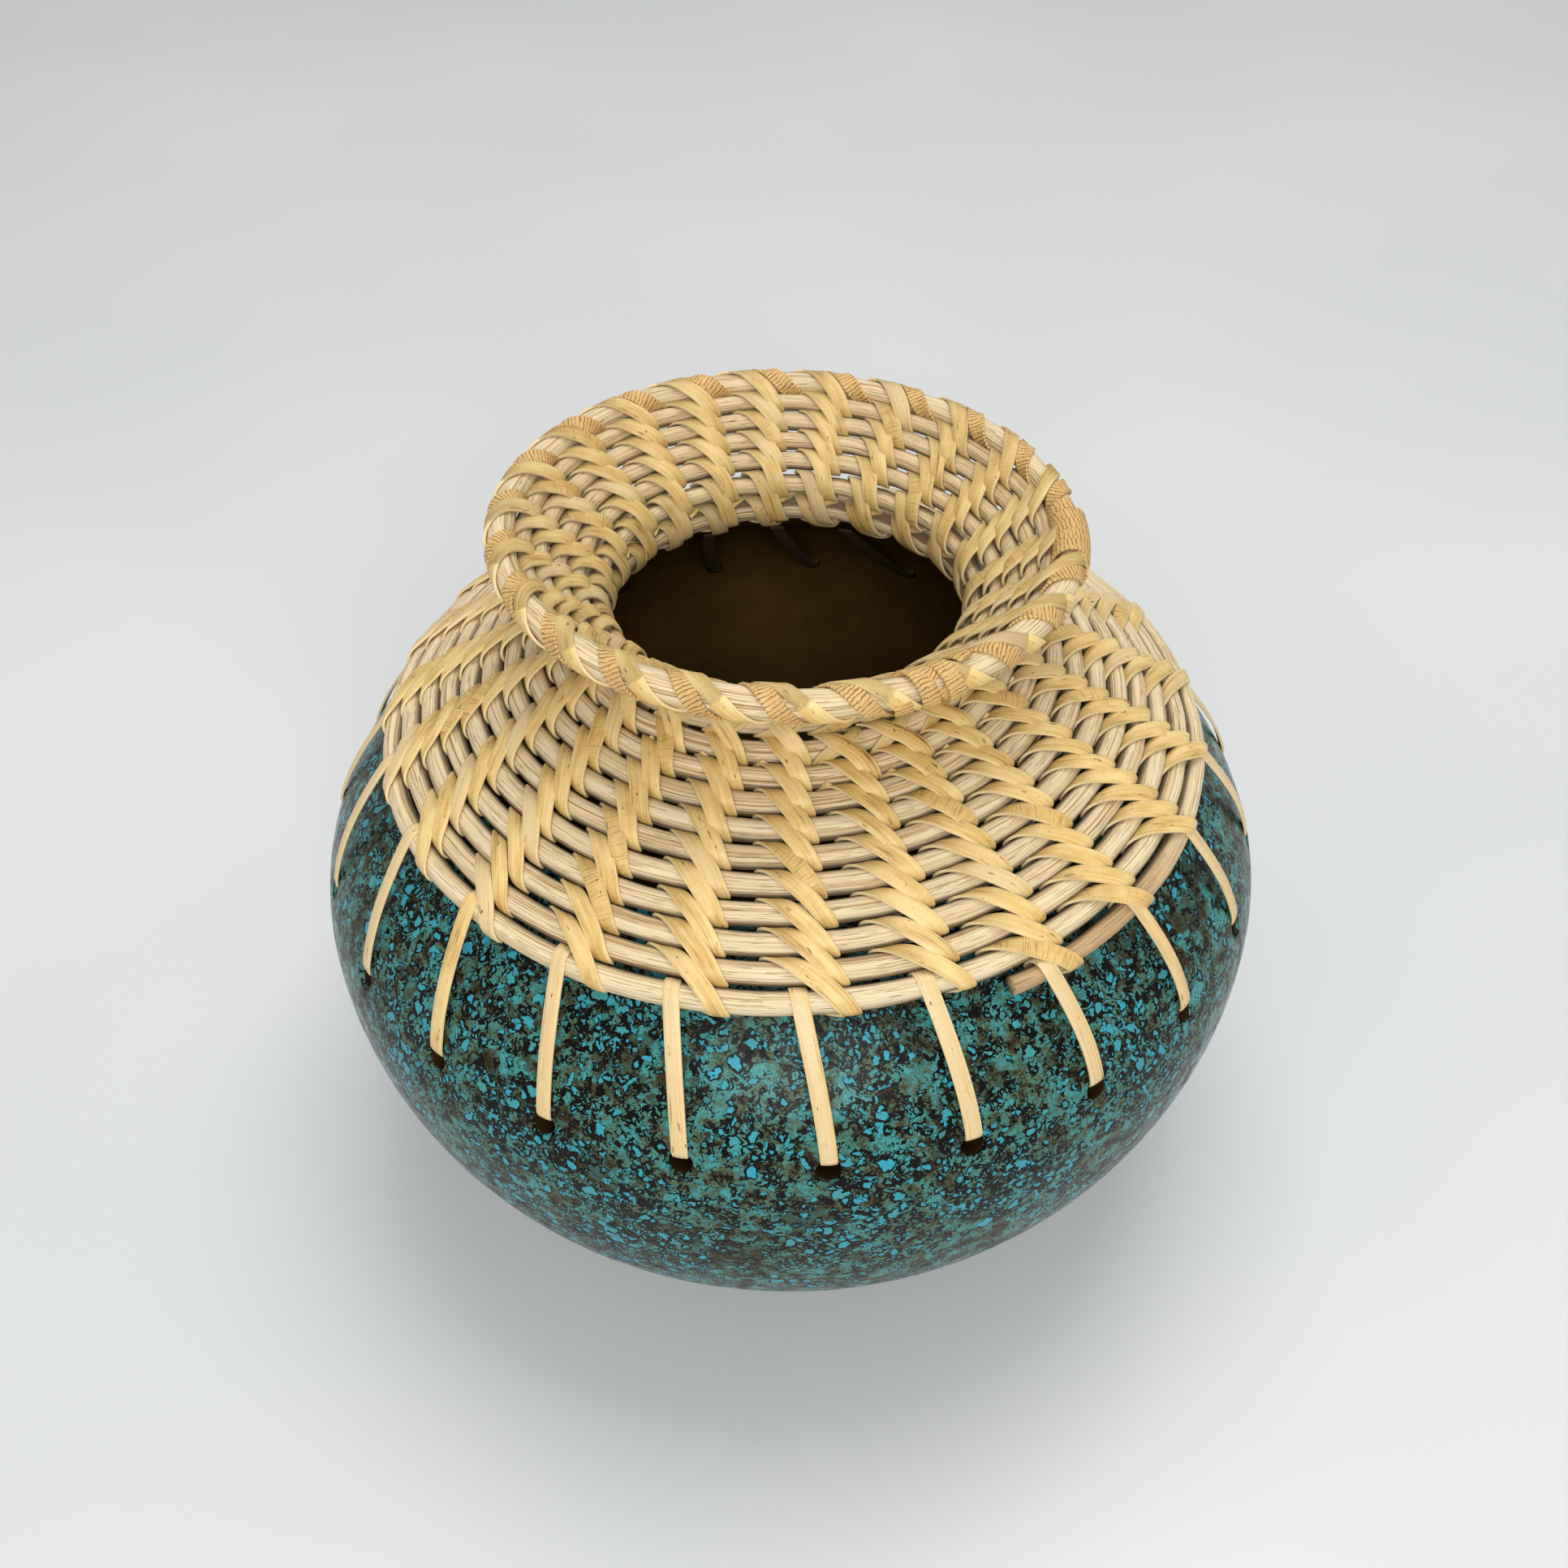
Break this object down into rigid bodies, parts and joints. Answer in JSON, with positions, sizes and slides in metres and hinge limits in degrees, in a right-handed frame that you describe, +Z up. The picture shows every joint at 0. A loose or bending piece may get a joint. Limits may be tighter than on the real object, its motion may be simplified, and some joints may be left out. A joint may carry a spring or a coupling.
{
  "type": "rattan wrapped vase",
  "caption": "Round stoneware vase with a coiled rattan collar and flared neck, cane laced and tied through holes in its shoulder; holds stems or stands alone.",
  "frame": {"origin": "centre of the flat foot, on the surface that the vase stands on", "axes": "+Z up along the vase's axis; the pictured side faces -Y"},
  "size_m": [0.1996, 0.2, 0.1603],
  "materials": {
    "stoneware": "matte mottled turquoise slip over dark brown clay",
    "rattan_core": "bare round reed",
    "cane": "split cane, satin"
  },
  "bodies": {
    "root": {"pot": "stoneware", "shoulder_coil": "rattan_core", "neck_coil": "rattan_core", "rim_hoop": "rattan_core", "shoulder_lacing_01": "cane", "neck_lacing_01": "cane", "shoulder_lacing_02": "cane", "neck_lacing_02": "cane", "shoulder_lacing_03": "cane", "neck_lacing_03": "cane", "shoulder_lacing_04": "cane", "neck_lacing_04": "cane", "shoulder_lacing_05": "cane", "neck_lacing_05": "cane", "shoulder_lacing_06": "cane", "neck_lacing_06": "cane", "shoulder_lacing_07": "cane", "neck_lacing_07": "cane", "shoulder_lacing_08": "cane", "neck_lacing_08": "cane", "shoulder_lacing_09": "cane", "neck_lacing_09": "cane", "shoulder_lacing_10": "cane", "neck_lacing_10": "cane", "shoulder_lacing_11": "cane", "neck_lacing_11": "cane", "shoulder_lacing_12": "cane", "neck_lacing_12": "cane", "shoulder_lacing_13": "cane", "neck_lacing_13": "cane", "shoulder_lacing_14": "cane", "neck_lacing_14": "cane", "shoulder_lacing_15": "cane", "neck_lacing_15": "cane", "shoulder_lacing_16": "cane", "neck_lacing_16": "cane", "shoulder_lacing_17": "cane", "neck_lacing_17": "cane", "shoulder_lacing_18": "cane", "neck_lacing_18": "cane", "shoulder_lacing_19": "cane", "neck_lacing_19": "cane", "shoulder_lacing_20": "cane", "neck_lacing_20": "cane", "shoulder_lacing_21": "cane", "neck_lacing_21": "cane", "shoulder_lacing_22": "cane", "neck_lacing_22": "cane", "shoulder_lacing_23": "cane", "neck_lacing_23": "cane"}
  },
  "joints": []
}
